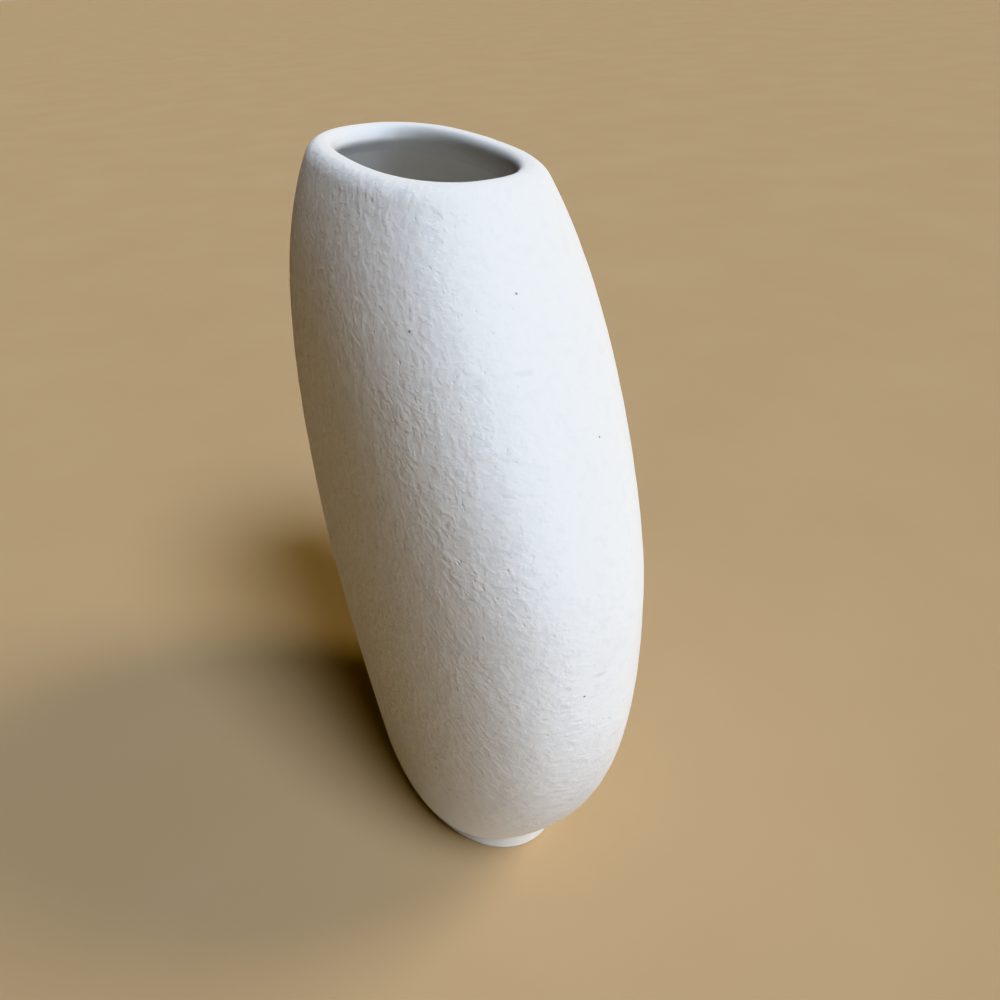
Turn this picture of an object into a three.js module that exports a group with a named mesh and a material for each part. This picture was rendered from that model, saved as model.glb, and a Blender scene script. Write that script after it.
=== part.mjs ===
// Bud vase: a flattened, pillow-shaped vessel of matte white stoneware with an oval mouth.
// Millimetres, +Z up. The origin is the middle of the foot's underside, +X runs along the broad
// width and +Y through the thickness.
import * as THREE from "three";

// Outside of the vessel
const height = 120;
const bellyHeight = 66.8;
const bellyWidth = 104.6;
const bellyDepth = 38.4;
const rimWidth = 60.2;
const rimDepth = 27.8;
const baseWidth = 51.4;
const baseDepth = 30.6;

// How the outside draws in from the belly: 2 is a parabola, more stays full for longer
const shoulderWidthPower = 1.62;
const shoulderDepthPower = 4;
const flankWidthPower = 2.27;
const flankDepthPower = 1.71;

// Shape of the oval sections: 2 is an ellipse, more is squarer
const sectionPower = 2.4;

// Clay wall, glaze inside it and the gap between curved faces that lie together
const clayWall = 3.4;
const glazeCoat = 0.4;
const fitGap = 0.3;

// Lip: a smooth band with a crowned top
const lipHeight = 4.5;
const crownRise = 2;
const crownPower = 2.3;

// Roll of the wall under to the foot, the floor above the foot and the glaze pooled in its corner
const tuckRadius = 1.8;
const floorThickness = 4;
const poolRadius = 3;

// Foot ring, which stands out a little past the wall's seat on it, more so along the width
const footHeight = 3.2;
const footMarginAlong = 1.4;
const footMarginAcross = 0.4;
const footFlare = 0.3;
const footBevel = 0.5;
const footRingWidth = 5;

// Fineness of the facets
const segments = 64;
const outsideRows = 24;
const insideRows = 13;
const lipRows = 2;
const crownRows = 12;
const blendRows = 4;

// Heights and insets that several pieces share
const crownStart = height - crownRise;
const lipSeat = height - lipHeight;
const floorTop = footHeight + floorThickness;
const glazeInset = clayWall + fitGap;
const lipWall = glazeInset + glazeCoat;

// Half size of the outside along one axis at height z, and how steeply it changes there.
function outline(z, belly, rim, base, shoulderPower, flankPower) {
  const above = z > bellyHeight;
  const reach = above ? crownStart - bellyHeight : bellyHeight - footHeight;
  const drawIn = (belly - (above ? rim : base)) / 2;
  const power = above ? shoulderPower : flankPower;
  const run = Math.abs(z - bellyHeight) / reach;
  return {
    half: belly / 2 - drawIn * run ** power,
    slope: (drawIn * power * run ** (power - 1)) / reach,
  };
}

// Oval section at height z, set in from the outside by a depth measured square to the surface.
function section(z, inset = 0) {
  const width = outline(z, bellyWidth, rimWidth, baseWidth, shoulderWidthPower, flankWidthPower);
  const depth = outline(z, bellyDepth, rimDepth, baseDepth, shoulderDepthPower, flankDepthPower);
  return {
    halfWidth: width.half - inset * Math.hypot(1, width.slope),
    halfDepth: depth.half - inset * Math.hypot(1, depth.slope),
    z,
  };
}

// The same oval drawn in by an even amount, at a height of its own.
function drawnIn(oval, amount, z = oval.z) {
  return { halfWidth: oval.halfWidth - amount, halfDepth: oval.halfDepth - amount, z };
}

// An oval between two others: share 0 is the first, 1 the second.
function between(first, second, share, z = THREE.MathUtils.lerp(first.z, second.z, share)) {
  return {
    halfWidth: THREE.MathUtils.lerp(first.halfWidth, second.halfWidth, share),
    halfDepth: THREE.MathUtils.lerp(first.halfDepth, second.halfDepth, share),
    z,
  };
}

// Sections from one height to another, both ends included.
function sectionsBetween(fromZ, toZ, rows, inset = 0) {
  return Array.from({ length: rows + 1 }, (_, row) =>
    section(THREE.MathUtils.lerp(fromZ, toZ, row / rows), inset),
  );
}

// Sections that turn a corner smoothly from start to end, as a quadratic curve does.
function cornerSections(start, corner, end) {
  return Array.from({ length: blendRows + 1 }, (_, row) => {
    const share = row / blendRows;
    return between(between(start, corner, share), between(corner, end, share), share);
  });
}

// Cosine and sine raised to the shape of a squared oval.
function ovalPoint(turn, power) {
  const squared = (value) => Math.sign(value) * Math.abs(value) ** (2 / power);
  return [squared(Math.cos(turn)), squared(Math.sin(turn))];
}

// Corner points of one section, anticlockwise from above.
function sectionPoints({ halfWidth, halfDepth, z }) {
  return Array.from({ length: segments }, (_, step) => {
    const [along, across] = ovalPoint((2 * Math.PI * step) / segments, sectionPower);
    return [halfWidth * along, halfDepth * across, z];
  });
}

// Triangles between each section and the next, which starts at the row that nextRow gives.
function bandTriangles(bands, nextRow) {
  const triangles = [];
  for (let row = 0; row < bands; row++) {
    for (let step = 0; step < segments; step++) {
      const side = (step + 1) % segments;
      const here = row * segments;
      const next = nextRow(row) * segments;
      triangles.push(here + step, here + side, next + side);
      triangles.push(here + step, next + side, next + step);
    }
  }
  return triangles;
}

function geometryOf(points, triangles) {
  const geometry = new THREE.BufferGeometry();
  geometry.setAttribute("position", new THREE.Float32BufferAttribute(points.flat(), 3));
  geometry.setIndex(triangles);
  geometry.computeVertexNormals();
  return geometry;
}

// A ring: sections up its outside, over its top and down its inside, closed underneath.
function ringGeometry(sections) {
  const points = sections.flatMap(sectionPoints);
  return geometryOf(points, bandTriangles(sections.length, (row) => (row + 1) % sections.length));
}

// A body closed at both ends: its first section faces down and its last one faces up.
function cappedGeometry(sections) {
  const points = sections.flatMap(sectionPoints);
  const triangles = bandTriangles(sections.length - 1, (row) => row + 1);
  const last = (sections.length - 1) * segments;
  const below = points.push([0, 0, sections[0].z]) - 1;
  const above = points.push([0, 0, sections.at(-1).z]) - 1;
  for (let step = 0; step < segments; step++) {
    const side = (step + 1) % segments;
    triangles.push(below, side, step);
    triangles.push(above, last + step, last + side);
  }
  return geometryOf(points, triangles);
}

// Edge of the wall's flat seat on the foot.
const seatEdge = drawnIn(section(footHeight), tuckRadius);

// Textured wall, open at both ends, from its seat on the foot to its flat joint with the lip.
function bodyWall() {
  const tuckTop = footHeight + tuckRadius;
  const tuck = cornerSections(seatEdge, section(footHeight), section(tuckTop));
  const outside = sectionsBetween(tuckTop, lipSeat, outsideRows).slice(1);
  const inside = sectionsBetween(lipSeat, footHeight, insideRows, clayWall);
  return ringGeometry([...tuck, ...outside, ...inside]);
}

// Smooth lip, seated on the wall and over the edge of the glaze. Outside, its crown carries on the
// lean of the wall.
function lipRing() {
  const inner = section(crownStart, lipWall);
  const crown = Array.from({ length: crownRows - 1 }, (_, row) => {
    const [along, up] = ovalPoint((Math.PI * (row + 1)) / crownRows, crownPower);
    const z = crownStart + crownRise * up;
    return between(section(z), inner, (1 - along) / 2, z);
  });
  return ringGeometry([
    ...sectionsBetween(lipSeat, crownStart, lipRows),
    ...crown,
    ...sectionsBetween(crownStart, lipSeat, lipRows, lipWall),
  ]);
}

// Floor that closes the wall, resting on the foot.
function floorSlab() {
  return cappedGeometry([section(footHeight, glazeInset), section(floorTop, glazeInset)]);
}

// Glaze that lines the floor and the wall up to the lip and pools in the corner between them.
function glazeLining() {
  const poolFloor = floorTop + glazeCoat;
  const poolTop = poolFloor + poolRadius;
  const corner = section(poolFloor, lipWall);
  const pool = cornerSections(section(poolTop, lipWall), corner, drawnIn(corner, poolRadius));
  return cappedGeometry([
    ...sectionsBetween(floorTop, lipSeat, insideRows, glazeInset),
    ...sectionsBetween(lipSeat, poolTop, insideRows, lipWall).slice(0, -1),
    ...pool,
  ]);
}

// Smooth ring that the vase stands on, flared a little and bevelled where it meets the table.
function footRing() {
  const top = {
    halfWidth: seatEdge.halfWidth + footMarginAlong,
    halfDepth: seatEdge.halfDepth + footMarginAcross,
    z: footHeight,
  };
  const bottom = drawnIn(top, -footFlare, 0);
  const bevelTop = between(bottom, top, footBevel / footHeight);
  return ringGeometry([
    drawnIn(bottom, footBevel),
    bevelTop,
    top,
    drawnIn(top, footRingWidth),
    drawnIn(bottom, footRingWidth),
  ]);
}

const bisque = { color: 0xe6e5e3, roughness: 0.95, metalness: 0 };
const smoothBisque = { color: 0xebe9e5, roughness: 0.8, metalness: 0 };
const glaze = { color: 0xd8d6d1, roughness: 0.4, metalness: 0 };

function piece(name, geometry, finish) {
  const mesh = new THREE.Mesh(geometry, new THREE.MeshStandardMaterial(finish));
  mesh.name = name;
  return mesh;
}

const vase = new THREE.Group();
vase.add(
  piece("foot_ring", footRing(), smoothBisque),
  piece("body_wall", bodyWall(), bisque),
  piece("floor_slab", floorSlab(), bisque),
  piece("glaze_lining", glazeLining(), glaze),
  piece("lip_ring", lipRing(), smoothBisque),
);

export default vase;
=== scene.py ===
"""Looks of a small flattened bud vase of matte white stoneware, standing on a plain pale floor.

The vase is a squared oval in every section. It swells from a low foot to a belly and draws in to a
smooth rounded lip, and its wall has a fine leathery grain. Shapes are in millimetres until a mesh
is made, and the scene is in metres.
"""

import math

import bpy
import numpy as np
from mathutils import Matrix, Vector, noise


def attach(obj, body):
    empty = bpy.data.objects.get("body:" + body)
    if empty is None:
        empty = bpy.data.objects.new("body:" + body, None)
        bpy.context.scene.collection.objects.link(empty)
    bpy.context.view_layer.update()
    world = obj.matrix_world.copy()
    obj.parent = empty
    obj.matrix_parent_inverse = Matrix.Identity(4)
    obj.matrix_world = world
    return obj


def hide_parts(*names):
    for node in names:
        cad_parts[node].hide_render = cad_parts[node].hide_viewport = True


MM = 0.001

# Form of the vase: each pair is along the broad width and through the thickness
HEIGHT = 120.0
BELLY_HEIGHT = 66.8
BELLY_SIZE = np.array([104.6, 38.4])
RIM_SIZE = np.array([60.2, 27.8])
BASE_SIZE = np.array([51.4, 30.6])
SHOULDER_POWER = np.array([1.62, 4.0])
FLANK_POWER = np.array([2.27, 1.71])
BELLY_SOFTNESS = 0.12
SECTION_POWER = 2.4

# Thickness of the clay and of the glaze inside it
CLAY_WALL = 3.4
FIT_GAP = 0.3
GLAZE_COAT = 0.4

# Lip, roll of the wall under to the foot, floor and foot
LIP_HEIGHT = 4.5
CROWN_RISE = 2.0
CROWN_OUTER_POWER = 2.3
CROWN_INNER_POWER = 3.0
TUCK_RADIUS = 1.8
FLOOR_THICKNESS = 4.0
POOL_RADIUS = 3.0
FOOT_HEIGHT = 3.2
FOOT_MARGIN = np.array([1.6, 0.4])
FOOT_POWER = 2.05
FOOT_FLARE = 0.3
FOOT_RING_WIDTH = 5.0
FOOT_BOTTOM_ROUND = 0.5
FOOT_TOP_ROUND = 0.45

# Heights and insets that several pieces share
CROWN_START = HEIGHT - CROWN_RISE
LIP_SEAT = HEIGHT - LIP_HEIGHT
FLOOR_TOP = FOOT_HEIGHT + FLOOR_THICKNESS
POOL_FLOOR = FLOOR_TOP + GLAZE_COAT
GLAZE_INSET = CLAY_WALL + FIT_GAP
LIP_WALL = GLAZE_INSET + GLAZE_COAT

# Fineness of the meshes
SHELL_COLUMNS = 388
OUTSIDE_ROWS = 212
TUCK_ROWS = 8
CROWN_ROWS = 18
LIP_INSIDE_ROWS = 6
HIDDEN_ROWS = 6
LINING_COLUMNS = 200
LINING_ROWS = 60
POOL_ROWS = 10
POOL_FLOOR_RINGS = 14
FOOT_COLUMNS = 240
FOOT_ROUND_ROWS = 6
FINE_TURNS = 4000

# Edges sharper than this many degrees stay sharp
SHARP_ANGLE = 50.0

# Unevenness of the surface: length of a wave, greatest depth and layers of ever finer waves
HAND_WAVE = 24.0
HAND_DEPTH = 0.1
PRESS_WAVE = 4.5
PRESS_DEPTH = 0.08
UNEVEN_LAYERS = 2

# Where the grain fades out: over the crown of the lip, 0.5 being its crest, and towards the foot
GRAIN_CROWN = (0.25, 0.6)
GRAIN_FOOT = (6.0, 22.0)

# Grain: lengths of its waves, how far its lumps drift, their height for their width, and its depth
LUMP_WAVE = 1.3
LUMP_STRETCH = 0.85
DRIFT_WAVE = 1.6
DRIFT_REACH = 1.1
PATCH_WAVE = 7.0
SWELL_WAVE = 3.0
TOOTH_WAVE = 0.6
PIT_WAVE = 1.0
GRAIN_DEPTH = 0.19

# Noise values between which lumps, crowded patches, pits and the painted mottled shade of the grain
# go from nothing to full
LUMP_EDGES = (0.36, 0.72)
PATCH_EDGES = (0.35, 0.65)
PIT_EDGES = (0.31, 0.17)
SHADE_MOTTLE_EDGES = (0.5, 0.68)

# Height of the lumps outside and inside the crowded patches
PATCH_SHARES = (0.6, 1.0)

# Share of each form in the height of the grain
SWELL_SHARE = 0.4
TOOTH_SHARE = 0.2
PIT_SHARE = -0.3
LUMP_SHARE = 0.3

# Layers of ever finer waves in the noise
SOFT_DETAIL = 1.0
GRAIN_DETAIL = 2.0
CLOUD_DETAIL = 3.0
FLOOR_DETAIL = 4.0

# Colour of the clay: lengths of its clouds and of the grey mottles painted as shade of the grain, and
# how strongly that painted shade, the shade painted in the pits and the scuffs show
CLOUD_WAVE = 20.0
SMALL_CLOUD_WAVE = 10.0
SHADE_MOTTLE_WAVE = 1.6
SHADE_MOTTLE_STRENGTH = 0.3
PIT_SHADE_STRENGTH = 0.22
SCUFF_STRENGTH = 0.4

# Shine of the grained wall and of the smooth pieces, and roughness of the wall
GRAINED_SHINE = 0.25
SMOOTH_SHINE = 0.3
GRAINED_ROUGHNESS = (0.82, 0.95)

# Dark specks in the clay and faint grey scuffs on it, on the front and then on the other sides
SPECKS = (
    (36.15, -1.7, 108.8),
    (29.2, -13.2, 104.2),
    (44.75, 4.7, 92.0),
    (51.85, -1.6, 58.3),
    (-20.0, -17.9, 49.0),
    (-44.45, 10.65, 80.0),
    (12.0, 18.65, 88.0),
)
SPECK_RADIUS = 0.24
SCUFFS = (
    (40.85, -3.2, 100.7),
    (52.15, 0.5, 61.4),
    (-8.0, 19.1, 60.0),
    (-51.45, -4.0, 71.0),
)
SCUFF_REACH = 1.7
SCUFF_FLATNESS = 3.5

# Floor and backdrop, in metres, and the length of the floor's clouds in millimetres
STAGE_RADIUS = 7.6
STAGE_CORNERS = 128
BACKDROP_RISE = (0.15, 1.6)
FLOOR_CLOUD_WAVE = 60.0

# Degrees across which each light spreads
LIGHT_SPREAD = 22.0

# Mesh attribute that says how strong the grain is at a point
GRAIN_SHARE = "grain_share"


def section(z, inset=0.0):
    """Half width, half depth and height of the oval at height z, set in square to the surface."""
    above = z > BELLY_HEIGHT
    reach = CROWN_START - BELLY_HEIGHT if above else BELLY_HEIGHT - FOOT_HEIGHT
    draw_in = (BELLY_SIZE - (RIM_SIZE if above else BASE_SIZE)) / 2
    power = SHOULDER_POWER if above else FLANK_POWER
    run = abs(z - BELLY_HEIGHT) / reach
    bend = run**2 + BELLY_SOFTNESS**2
    least = BELLY_SOFTNESS**power
    most = (1 + BELLY_SOFTNESS**2) ** (power / 2)
    half = BELLY_SIZE / 2 - draw_in * (bend ** (power / 2) - least) / (most - least)
    slope = draw_in * power * run * bend ** (power / 2 - 1) / (most - least) / reach
    return np.append(half - inset * np.hypot(1, slope), z)


def sections_between(from_z, to_z, rows, inset=0.0):
    """Sections at even heights, both ends included."""
    return [section(z, inset) for z in np.linspace(from_z, to_z, rows + 1)]


def drawn_in(oval, amount, z=None):
    """The same oval, smaller by an even amount all round."""
    return np.array([oval[0] - amount, oval[1] - amount, oval[2] if z is None else z])


def corner_sections(start, corner, end, rows):
    """Sections that turn a corner smoothly, as a quadratic curve does."""
    shares = np.linspace(0, 1, rows + 1)
    return [(1 - s) ** 2 * start + 2 * s * (1 - s) * corner + s**2 * end for s in shares]


def squared(value, power):
    """Sine or cosine raised to the shape of a squared oval."""
    return np.sign(value) * np.abs(value) ** (2 / power)


def oval_turns(count, power=SECTION_POWER):
    """Unit coordinates round the squared oval, evenly spaced along the belly."""
    turns = np.linspace(0, 2 * np.pi, FINE_TURNS + 1)

    def unit(turn):
        return np.stack([squared(np.cos(turn), power), squared(np.sin(turn), power)], -1)

    steps = np.linalg.norm(np.diff(unit(turns) * BELLY_SIZE, axis=0), axis=1)
    travelled = np.append(0, np.cumsum(steps))
    even = np.linspace(0, travelled[-1], count, endpoint=False)
    return unit(np.interp(even, travelled, turns))


def grid_of(sections, turns):
    """Points of the sections as rows, anticlockwise from above."""
    sections = np.array(sections)
    grid = np.empty((len(sections), len(turns), 3))
    grid[..., :2] = sections[:, None, :2] * turns
    grid[..., 2] = sections[:, None, 2]
    return grid


def grid_normals(grid):
    """Outward direction at each point of a grid that closes round its columns."""
    along = np.roll(grid, -1, axis=1) - np.roll(grid, 1, axis=1)
    up = np.gradient(grid, axis=0)
    normals = np.cross(along, up)
    return normals / np.linalg.norm(normals, axis=2, keepdims=True)


def band_faces(rows, columns, closed):
    """Four-sided faces between each row and the next, and back to the first row if closed."""
    row = np.arange(rows if closed else rows - 1)[:, None]
    here = np.arange(columns)[None]
    side = (here + 1) % columns
    above = (row + 1) % rows
    low = [row * columns + here, row * columns + side]
    high = [above * columns + side, above * columns + here]
    return np.stack(low + high, -1).reshape(-1, 4)


def new_piece(name, grid, closed, material):
    """A smooth mesh on a grid. An open grid is closed at its two ends by flat faces."""
    rows, columns = grid.shape[:2]
    faces = band_faces(rows, columns, closed).tolist()
    if not closed:
        faces.append(list(range(columns))[::-1])
        faces.append(list(range((rows - 1) * columns, rows * columns)))
    mesh = bpy.data.meshes.new(name)
    mesh.from_pydata((grid.reshape(-1, 3) * MM).tolist(), [], faces)
    mesh.shade_smooth()
    mesh.set_sharp_from_angle(angle=math.radians(SHARP_ANGLE))
    mesh.materials.append(material)
    piece = bpy.data.objects.new(name, mesh)
    bpy.context.scene.collection.objects.link(piece)
    return piece


def smooth_step(value, low, high):
    """0 below low, 1 above high, smooth between."""
    share = np.clip((value - low) / (high - low), 0, 1)
    return share * share * (3 - 2 * share)


def wave_depths(grid, wave):
    """Noise from 0 to 1 at each point, with waves of the given length."""
    roughness = 1.0
    growth = 2.0
    swing = 0.5
    points = grid.reshape(-1, 3) / wave
    values = [noise.fractal(Vector(point), roughness, growth, UNEVEN_LAYERS) for point in points]
    return np.clip(swing + swing * np.array(values), 0, 1).reshape(grid.shape[:2])


def pressed_in(grid, hand_share, press_share):
    """The grid pressed in a little along its normals, so that it never stands proud of the form."""
    hand = HAND_DEPTH * wave_depths(grid, HAND_WAVE) * hand_share
    press = PRESS_DEPTH * wave_depths(grid, PRESS_WAVE) * press_share
    return grid - grid_normals(grid) * (hand + press)[..., None]


def crown_sections():
    """Rounded top of the lip, which carries on the lean of the wall outside."""
    inner = section(CROWN_START, LIP_WALL)
    rows = []
    for turn in np.linspace(0, np.pi, CROWN_ROWS + 1)[1:-1]:
        power = CROWN_OUTER_POWER if turn < np.pi / 2 else CROWN_INNER_POWER
        share = (1 - squared(np.cos(turn), power)) / 2
        z = CROWN_START + CROWN_RISE * squared(np.sin(turn), power)
        row = (1 - share) * section(z) + share * inner
        row[2] = z
        rows.append(row)
    return rows


def lip_inside_sections():
    """Inside of the lip, which leaves the crown upright and eases into the line of the wall below."""
    top = section(CROWN_START, LIP_WALL)
    bottom = section(LIP_SEAT, LIP_WALL)
    rows = []
    for share in np.linspace(0, 1, LIP_INSIDE_ROWS + 1):
        row = top + (bottom - top) * share**2 * (2 - share)
        row[2] = top[2] + (bottom[2] - top[2]) * share
        rows.append(row)
    return rows


SEAT_EDGE = drawn_in(section(FOOT_HEIGHT), TUCK_RADIUS)


def make_shell(material):
    """Wall and lip as one skin of clay: up the outside, over the lip and down behind the glaze."""
    tuck_top = FOOT_HEIGHT + TUCK_RADIUS
    tuck = corner_sections(SEAT_EDGE, section(FOOT_HEIGHT), section(tuck_top), TUCK_ROWS)
    outside = sections_between(tuck_top, CROWN_START, OUTSIDE_ROWS)[1:]
    crown = crown_sections()
    lip_inside = lip_inside_sections()
    hidden = sections_between(LIP_SEAT, FOOT_HEIGHT, HIDDEN_ROWS, CLAY_WALL)
    turns = oval_turns(SHELL_COLUMNS)
    skin = grid_of(tuck + outside + crown + lip_inside, turns)
    height = skin[..., 2]
    crown_row = len(tuck) + len(outside)
    over_crown = (np.arange(len(skin))[:, None] - crown_row) / CROWN_ROWS
    outer_share = 1 - smooth_step(over_crown, *GRAIN_CROWN)
    above_seat = smooth_step(height, FOOT_HEIGHT, FOOT_HEIGHT + TUCK_RADIUS)
    grain = outer_share * smooth_step(height, *GRAIN_FOOT)
    skin = pressed_in(skin, outer_share * above_seat, grain)
    grid = np.concatenate([skin, grid_of(hidden, turns)])
    shell = new_piece("vase_shell", grid, True, material)
    shares = np.concatenate([grain, np.zeros((len(hidden), SHELL_COLUMNS))])
    attribute = shell.data.attributes.new(GRAIN_SHARE, "FLOAT", "POINT")
    attribute.data.foreach_set("value", shares.ravel())
    return shell


def make_lining(material):
    """Glaze on the inside wall and floor, pooled in the corner between them."""
    pool_top = POOL_FLOOR + POOL_RADIUS
    behind = sections_between(FLOOR_TOP, LIP_SEAT, HIDDEN_ROWS, GLAZE_INSET)
    wall = sections_between(LIP_SEAT, pool_top, LINING_ROWS, LIP_WALL)
    corner = section(POOL_FLOOR, LIP_WALL)
    pool_edge = drawn_in(corner, POOL_RADIUS)
    pool = corner_sections(wall[-1], corner, pool_edge, POOL_ROWS)[1:]
    middle = np.array([0.0, 0.0, POOL_FLOOR])
    shares = np.linspace(0, 1, POOL_FLOOR_RINGS + 1)[1:-1]
    floor = [(1 - share) * pool_edge + share * middle for share in shares]
    grid = grid_of(behind + wall + pool + floor, oval_turns(LINING_COLUMNS))
    return new_piece("vase_lining", grid, False, material)


def make_foot(material):
    """Low smooth ring under the wall, with its edges rubbed round."""
    top = SEAT_EDGE + np.append(FOOT_MARGIN, 0)
    bottom = drawn_in(top, -FOOT_FLARE, 0.0)

    def side(z):
        share = z / FOOT_HEIGHT
        return (1 - share) * bottom + share * top

    under = drawn_in(bottom, FOOT_BOTTOM_ROUND)
    ledge = drawn_in(top, FOOT_TOP_ROUND)
    bottom_round = corner_sections(under, bottom, side(FOOT_BOTTOM_ROUND), FOOT_ROUND_ROWS)
    side_top = side(FOOT_HEIGHT - FOOT_TOP_ROUND)
    middle = [side(FOOT_HEIGHT / 2)]
    top_round = corner_sections(side_top, top, ledge, FOOT_ROUND_ROWS)
    inside = [drawn_in(top, FOOT_RING_WIDTH), drawn_in(bottom, FOOT_RING_WIDTH)]
    rows = bottom_round + middle + top_round + inside
    grid = grid_of(rows, oval_turns(FOOT_COLUMNS, FOOT_POWER))
    return new_piece("vase_foot", grid, True, material)


class Outputs:
    """The outputs of a node, by number, name or identifier."""

    def __init__(self, made):
        self.sockets = list(made.outputs)
        self.named = {socket.name: socket for socket in self.sockets}
        self.named.update({socket.identifier: socket for socket in self.sockets})

    def __getitem__(self, key):
        return self.sockets[key] if isinstance(key, int) else self.named[key]


def add_node(tree, kind, *values, settings=None, **named):
    """Adds a node. Each value is a number to set on an input or an output to link to it."""
    made = tree.nodes.new(kind)
    for name, value in (settings or {}).items():
        setattr(made, name, value)
    by_name = {socket.name: socket for socket in made.inputs}
    by_name.update({socket.identifier: socket for socket in made.inputs})
    inputs = list(zip(made.inputs, values))
    inputs += [(by_name[name], value) for name, value in named.items()]
    for socket, value in inputs:
        if isinstance(value, bpy.types.NodeSocket):
            tree.links.new(value, socket)
        else:
            socket.default_value = value
    return Outputs(made)


def math_node(tree, operation, *values):
    """One sum on one, two or three numbers."""
    return add_node(tree, "ShaderNodeMath", *values, settings={"operation": operation})[0]


def vector_node(tree, operation, *values):
    """One sum on vectors."""
    return add_node(tree, "ShaderNodeVectorMath", *values, settings={"operation": operation})


def faded(tree, value, none, full):
    """0 where the value is none, 1 where it is full, smooth between."""
    settings = {"interpolation_type": "SMOOTHSTEP"}
    return add_node(tree, "ShaderNodeMapRange", value, none, full, 0.0, 1.0, settings=settings)[0]


def scaled(tree, value, low, high):
    """A value from 0 to 1 spread between low and high."""
    return add_node(tree, "ShaderNodeMapRange", value, 0.0, 1.0, low, high)[0]


def noise_node(tree, place, wave, detail=SOFT_DETAIL):
    """Soft noise with waves of a length in millimetres: a number about 0.5 and a colour."""
    return add_node(tree, "ShaderNodeTexNoise", Vector=place, Scale=1 / (wave * MM), Detail=detail)


def mixed_colour(tree, share, first, second):
    """A colour between two others."""
    settings = {"data_type": "RGBA"}
    named = {"Factor_Float": share, "A_Color": first, "B_Color": second}
    return add_node(tree, "ShaderNodeMix", settings=settings, **named)["Result_Color"]


def bumped(tree, height, depth):
    """Direction of the surface after a bump with a depth in millimetres."""
    named = {"Strength": 1.0, "Distance": depth * MM, "Height": height}
    return add_node(tree, "ShaderNodeBump", **named)["Normal"]


def new_material(name):
    """A material with its tree, its shader and the place of each point in metres."""
    material = bpy.data.materials.new(name)
    material.use_nodes = True
    tree = material.node_tree
    place = tree.nodes.new("ShaderNodeTexCoord").outputs["Object"]
    return material, tree, tree.nodes["Principled BSDF"], place


def lumps(tree, place):
    """Small soft lumps, a little wider than tall, crowded in patches: 1 on a lump."""
    drawn_out = vector_node(tree, "MULTIPLY", place, (1, 1, 1 / LUMP_STRETCH))[0]
    drift = noise_node(tree, drawn_out, DRIFT_WAVE)["Color"]
    reach = vector_node(tree, "MULTIPLY", drift, (DRIFT_REACH * MM,) * 3)[0]
    drifted = vector_node(tree, "ADD", drawn_out, reach)[0]
    lump = faded(tree, noise_node(tree, drifted, LUMP_WAVE, GRAIN_DETAIL)["Fac"], *LUMP_EDGES)
    patch = faded(tree, noise_node(tree, place, PATCH_WAVE)["Fac"], *PATCH_EDGES)
    return math_node(tree, "MULTIPLY", lump, scaled(tree, patch, *PATCH_SHARES))


def pits(tree, place):
    """Small scattered pits: 1 in a pit."""
    return faded(tree, noise_node(tree, place, PIT_WAVE)["Fac"], *PIT_EDGES)


def grain_height(tree, place):
    """Leathery grain from 0 to 1: lumps and pits on soft swells, with a little fine tooth."""
    swell = noise_node(tree, place, SWELL_WAVE)["Fac"]
    tooth = noise_node(tree, place, TOOTH_WAVE, GRAIN_DETAIL)["Fac"]
    height = math_node(tree, "MULTIPLY", swell, SWELL_SHARE)
    height = math_node(tree, "MULTIPLY_ADD", tooth, TOOTH_SHARE, height)
    height = math_node(tree, "MULTIPLY_ADD", pits(tree, place), PIT_SHARE, height)
    return math_node(tree, "MULTIPLY_ADD", lumps(tree, place), LUMP_SHARE, height)


def near_any(tree, place, centres, reach):
    """1 at any of the centres, 0 further off than the reach."""
    hard_core = 0.5
    share = 0.0
    for centre in centres:
        distance = vector_node(tree, "DISTANCE", place, Vector(centre) * MM)["Value"]
        near = faded(tree, distance, reach * MM, reach * hard_core * MM)
        share = math_node(tree, "MAXIMUM", near, share)
    return share


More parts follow.
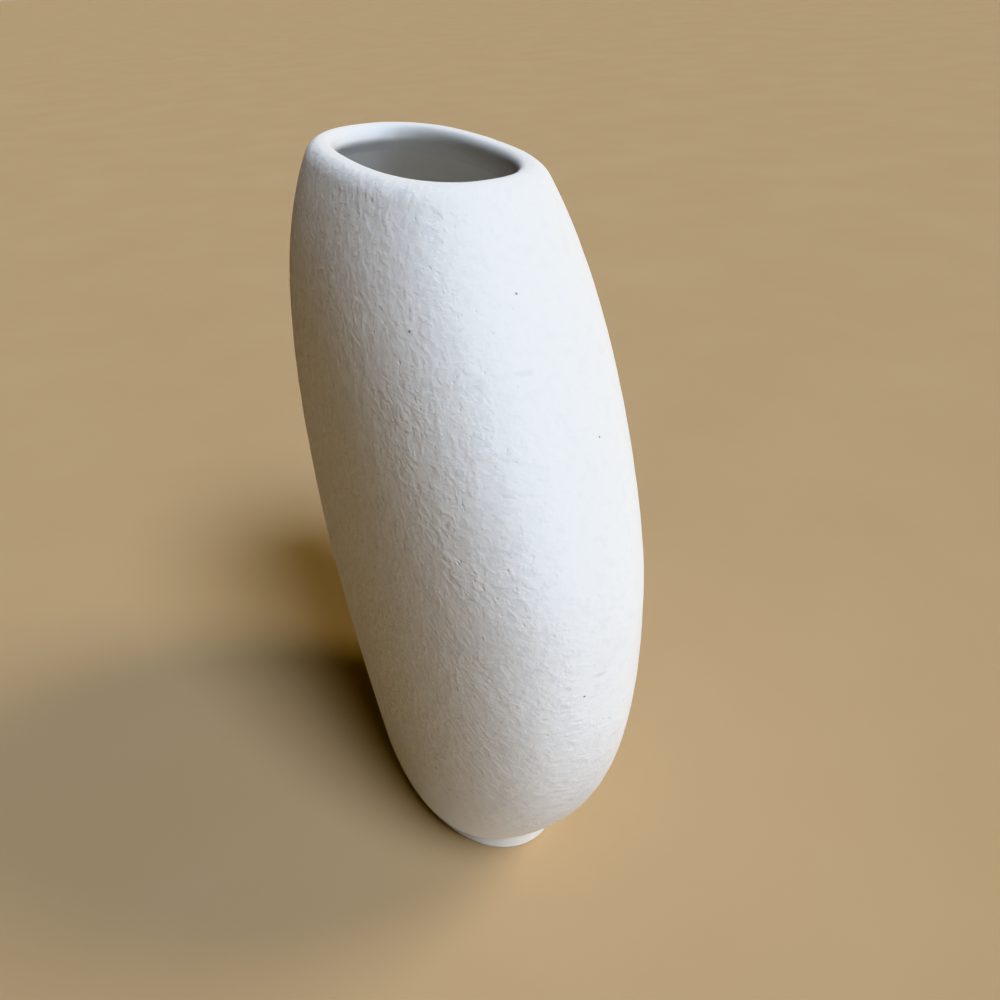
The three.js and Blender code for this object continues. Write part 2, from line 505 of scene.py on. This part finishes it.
def grained_bisque():
    """Matte white bisque with a leathery grain, grey mottles painted as the shade of the grain, shade
    painted in its pits, a few specks and scuffs.
    """
    pale = (0.86, 0.86, 0.86, 1)
    deep = (0.8, 0.8, 0.795, 1)
    # Colours of the painted shade in the grain's mottles and in its pits
    mottle_shade_colour = (0.65, 0.665, 0.685, 1)
    pit_shade_colour = (0.6, 0.59, 0.57, 1)
    scuffed = (0.5, 0.51, 0.53, 1)
    specked = (0.26, 0.25, 0.24, 1)
    material, tree, shader, place = new_material("grained_bisque")
    share = add_node(tree, "ShaderNodeAttribute", settings={"attribute_name": GRAIN_SHARE})["Fac"]
    height = grain_height(tree, place)
    grain = math_node(tree, "MULTIPLY", height, share)
    bump = bumped(tree, grain, GRAIN_DEPTH)
    cloud = noise_node(tree, place, CLOUD_WAVE, CLOUD_DETAIL)["Fac"]
    colour = mixed_colour(tree, cloud, deep, pale)
    # Painted shade: faint grey mottles that stand for the shade of the grain's bumps, only where the
    # grain is
    shade_mottle_noise = noise_node(tree, place, SHADE_MOTTLE_WAVE, CLOUD_DETAIL)["Fac"]
    shade_mottle = scaled(tree, faded(tree, shade_mottle_noise, *SHADE_MOTTLE_EDGES), 0.0, SHADE_MOTTLE_STRENGTH)
    colour = mixed_colour(tree, math_node(tree, "MULTIPLY", shade_mottle, share), colour, mottle_shade_colour)
    # Painted shade: the pits darker, as shade falls in them
    pit = scaled(tree, pits(tree, place), 0.0, PIT_SHADE_STRENGTH)
    colour = mixed_colour(tree, math_node(tree, "MULTIPLY", pit, share), colour, pit_shade_colour)
    flat_place = vector_node(tree, "MULTIPLY", place, (1, 1, SCUFF_FLATNESS))[0]
    flat_scuffs = [(x, y, z * SCUFF_FLATNESS) for x, y, z in SCUFFS]
    scuff = near_any(tree, flat_place, flat_scuffs, SCUFF_REACH)
    colour = mixed_colour(tree, scaled(tree, scuff, 0.0, SCUFF_STRENGTH), colour, scuffed)
    colour = mixed_colour(tree, near_any(tree, place, SPECKS, SPECK_RADIUS), colour, specked)
    tree.links.new(colour, shader.inputs["Base Color"])
    tree.links.new(bump, shader.inputs["Normal"])
    tree.links.new(scaled(tree, cloud, *GRAINED_ROUGHNESS), shader.inputs["Roughness"])
    shader.inputs["Specular IOR Level"].default_value = GRAINED_SHINE
    return material


def wiped_clay(name, pale, deep, wave, depth, roughness):
    """Plain clay or glaze: soft clouds of colour and a faint unevenness."""
    material, tree, shader, place = new_material(name)
    cloud = noise_node(tree, place, SMALL_CLOUD_WAVE, CLOUD_DETAIL)["Fac"]
    fine = noise_node(tree, place, wave, CLOUD_DETAIL)["Fac"]
    colour = mixed_colour(tree, cloud, deep, pale)
    tree.links.new(colour, shader.inputs["Base Color"])
    tree.links.new(bumped(tree, fine, depth), shader.inputs["Normal"])
    tree.links.new(scaled(tree, fine, *roughness), shader.inputs["Roughness"])
    shader.inputs["Specular IOR Level"].default_value = SMOOTH_SHINE
    return material


def smooth_bisque():
    """Bisque of the foot, wiped smooth, darker and warmer than the wall as painted shade under the
    belly.
    """
    # Darker, warmer colours: painted shade, where the belly overhangs the foot
    pale = (0.75, 0.715, 0.665, 1)
    deep = (0.67, 0.64, 0.59, 1)
    return wiped_clay("smooth_bisque", pale, deep, wave=0.5, depth=0.01, roughness=(0.7, 0.85))


def inner_glaze():
    """Thin satin glaze on the inside."""
    pale = (0.88, 0.865, 0.84, 1)
    deep = (0.85, 0.835, 0.8, 1)
    return wiped_clay("inner_glaze", pale, deep, wave=3.0, depth=0.02, roughness=(0.3, 0.42))


def bare_clay():
    """Bare fired clay of the floor."""
    pale = (0.82, 0.8, 0.76, 1)
    deep = (0.7, 0.67, 0.62, 1)
    return wiped_clay("bare_clay", pale, deep, wave=0.4, depth=0.03, roughness=(0.85, 0.95))


def ring_points(radius, height, corners):
    """Points round a level circle."""
    turns = np.linspace(0, 2 * np.pi, corners, endpoint=False)
    level = np.full(corners, height)
    return np.stack([radius * np.cos(turns), radius * np.sin(turns), level], -1)


def add_stage(name, points, faces, material):
    """A floor or backdrop, which isn't part of the vase."""
    mesh = bpy.data.meshes.new(name)
    mesh.from_pydata(points.tolist(), [], faces)
    mesh.materials.append(material)
    stage = bpy.data.objects.new(name, mesh)
    bpy.context.scene.collection.objects.link(stage)
    return stage


def make_floor():
    """Large pale floor in a soft sand colour."""
    deep = (0.44, 0.315, 0.18, 1)
    pale = (0.485, 0.352, 0.214, 1)
    material, tree, shader, place = new_material("pale_floor")
    cloud = noise_node(tree, place, FLOOR_CLOUD_WAVE, FLOOR_DETAIL)["Fac"]
    colour = mixed_colour(tree, cloud, deep, pale)
    tree.links.new(colour, shader.inputs["Base Color"])
    shader.inputs["Specular IOR Level"].default_value = 0.0
    edge = ring_points(STAGE_RADIUS, 0.0, STAGE_CORNERS)
    add_stage("floor", edge, [list(range(STAGE_CORNERS))], material)


def make_backdrop():
    """Pale wall far off, which starts in the floor's tone and sheds no light on the vase."""
    sand = (0.47, 0.36, 0.24, 1)
    grey = (0.5, 0.47, 0.44, 1)
    black = (0, 0, 0, 1)
    material, tree, shader, place = new_material("pale_backdrop")
    height = add_node(tree, "ShaderNodeSeparateXYZ", place)["Z"]
    colour = mixed_colour(tree, faded(tree, height, *BACKDROP_RISE), sand, grey)
    tree.links.new(colour, shader.inputs["Emission Color"])
    shader.inputs["Base Color"].default_value = black
    shader.inputs["Emission Strength"].default_value = 1.0
    bottom = ring_points(STAGE_RADIUS, 0.0, STAGE_CORNERS)
    top = ring_points(STAGE_RADIUS, STAGE_RADIUS, STAGE_CORNERS)
    faces = band_faces(2, STAGE_CORNERS, False).tolist()
    backdrop = add_stage("backdrop", np.concatenate([bottom, top]), faces, material)
    backdrop.visible_diffuse = False
    backdrop.visible_glossy = False
    backdrop.visible_shadow = False


def add_light(name, azimuth, elevation, strength, colour):
    """Even soft light from a direction in degrees: round from +X and up from level."""
    turn = math.radians(azimuth)
    rise = math.radians(elevation)
    along = math.cos(turn) * math.cos(rise)
    across = math.sin(turn) * math.cos(rise)
    towards = Vector((along, across, math.sin(rise)))
    data = bpy.data.lights.new(name, "SUN")
    data.energy = strength
    data.angle = math.radians(LIGHT_SPREAD)
    data.color = colour
    light = bpy.data.objects.new(name, data)
    light.rotation_euler = (-towards).to_track_quat("-Z", "Y").to_euler()
    bpy.context.scene.collection.objects.link(light)


def make_lights():
    """Window light from above the front edge, a warm light at the side and a low cool one."""
    add_light("window", azimuth=10, elevation=50, strength=3.5, colour=(0.79, 0.88, 1.0))
    add_light("side", azimuth=70, elevation=45, strength=1.5, colour=(1.0, 0.9, 0.73))
    add_light("low", azimuth=5, elevation=5, strength=1.15, colour=(0.69, 0.83, 1.0))
    room_colour = (1.0, 0.6, 0.3, 1)
    room_strength = 0.005
    world = bpy.data.worlds.new("room")
    world.use_nodes = True
    background = world.node_tree.nodes["Background"]
    background.inputs["Color"].default_value = room_colour
    background.inputs["Strength"].default_value = room_strength
    bpy.context.scene.world = world
    bpy.context.scene.view_settings.view_transform = "Khronos PBR Neutral"


def make_camera():
    """Camera above the front corner of the vase, looking down and turned a little on its axis."""
    image_width = 1000
    sensor_width = 36
    nearest = 0.01
    focal_pixels = 935.861
    pitch = math.radians(30.5658)
    roll = math.radians(-3.4678)
    yaw = math.radians(-67.1553)
    distance = 164.478
    aside = 9.0108
    above = 1.1013
    along = math.sin(yaw) * math.cos(pitch)
    across = math.cos(yaw) * math.cos(pitch)
    forward = Vector((along, across, -math.sin(pitch)))
    level = Vector((math.cos(yaw), -math.sin(yaw), 0))
    upright = level.cross(forward)
    right = math.cos(roll) * level + math.sin(roll) * upright
    up = math.cos(roll) * upright - math.sin(roll) * level
    middle = Vector((0, 0, HEIGHT / 2))
    position = (middle - forward * distance + right * aside + up * above) * MM
    data = bpy.data.cameras.new("camera")
    data.sensor_width = sensor_width
    data.lens = sensor_width * focal_pixels / image_width
    data.clip_start = nearest
    camera = bpy.data.objects.new("camera", data)
    turn = Matrix((right, up, -forward)).transposed().to_4x4()
    camera.matrix_world = Matrix.Translation(position) @ turn
    bpy.context.scene.collection.objects.link(camera)
    bpy.context.scene.camera = camera


def dress(frame):
    """Puts the finished pieces in place of the solids."""
    shell = make_shell(grained_bisque())
    foot = make_foot(smooth_bisque())
    lining = make_lining(inner_glaze())
    for piece, slot, nodes in (
        (shell, "grained_bisque", ("body_wall", "lip_ring")),
        (foot, "smooth_bisque", ("foot_ring",)),
        (lining, "inner_glaze", ("glaze_lining",)),
    ):
        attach(piece, "root")
        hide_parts(*nodes)
    floor_slab = frame["nodes"]["floor_slab"]
    floor_slab.data.materials.clear()
    floor_slab.data.materials.append(bare_clay())


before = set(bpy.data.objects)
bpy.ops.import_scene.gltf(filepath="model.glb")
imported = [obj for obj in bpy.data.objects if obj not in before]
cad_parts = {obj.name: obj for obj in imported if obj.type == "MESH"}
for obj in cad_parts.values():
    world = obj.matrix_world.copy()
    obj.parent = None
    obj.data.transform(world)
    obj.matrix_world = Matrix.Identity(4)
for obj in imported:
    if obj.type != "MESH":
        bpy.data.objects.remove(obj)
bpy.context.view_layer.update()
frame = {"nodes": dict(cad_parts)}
make_camera()
make_floor()
make_backdrop()
make_lights()
dress(frame)
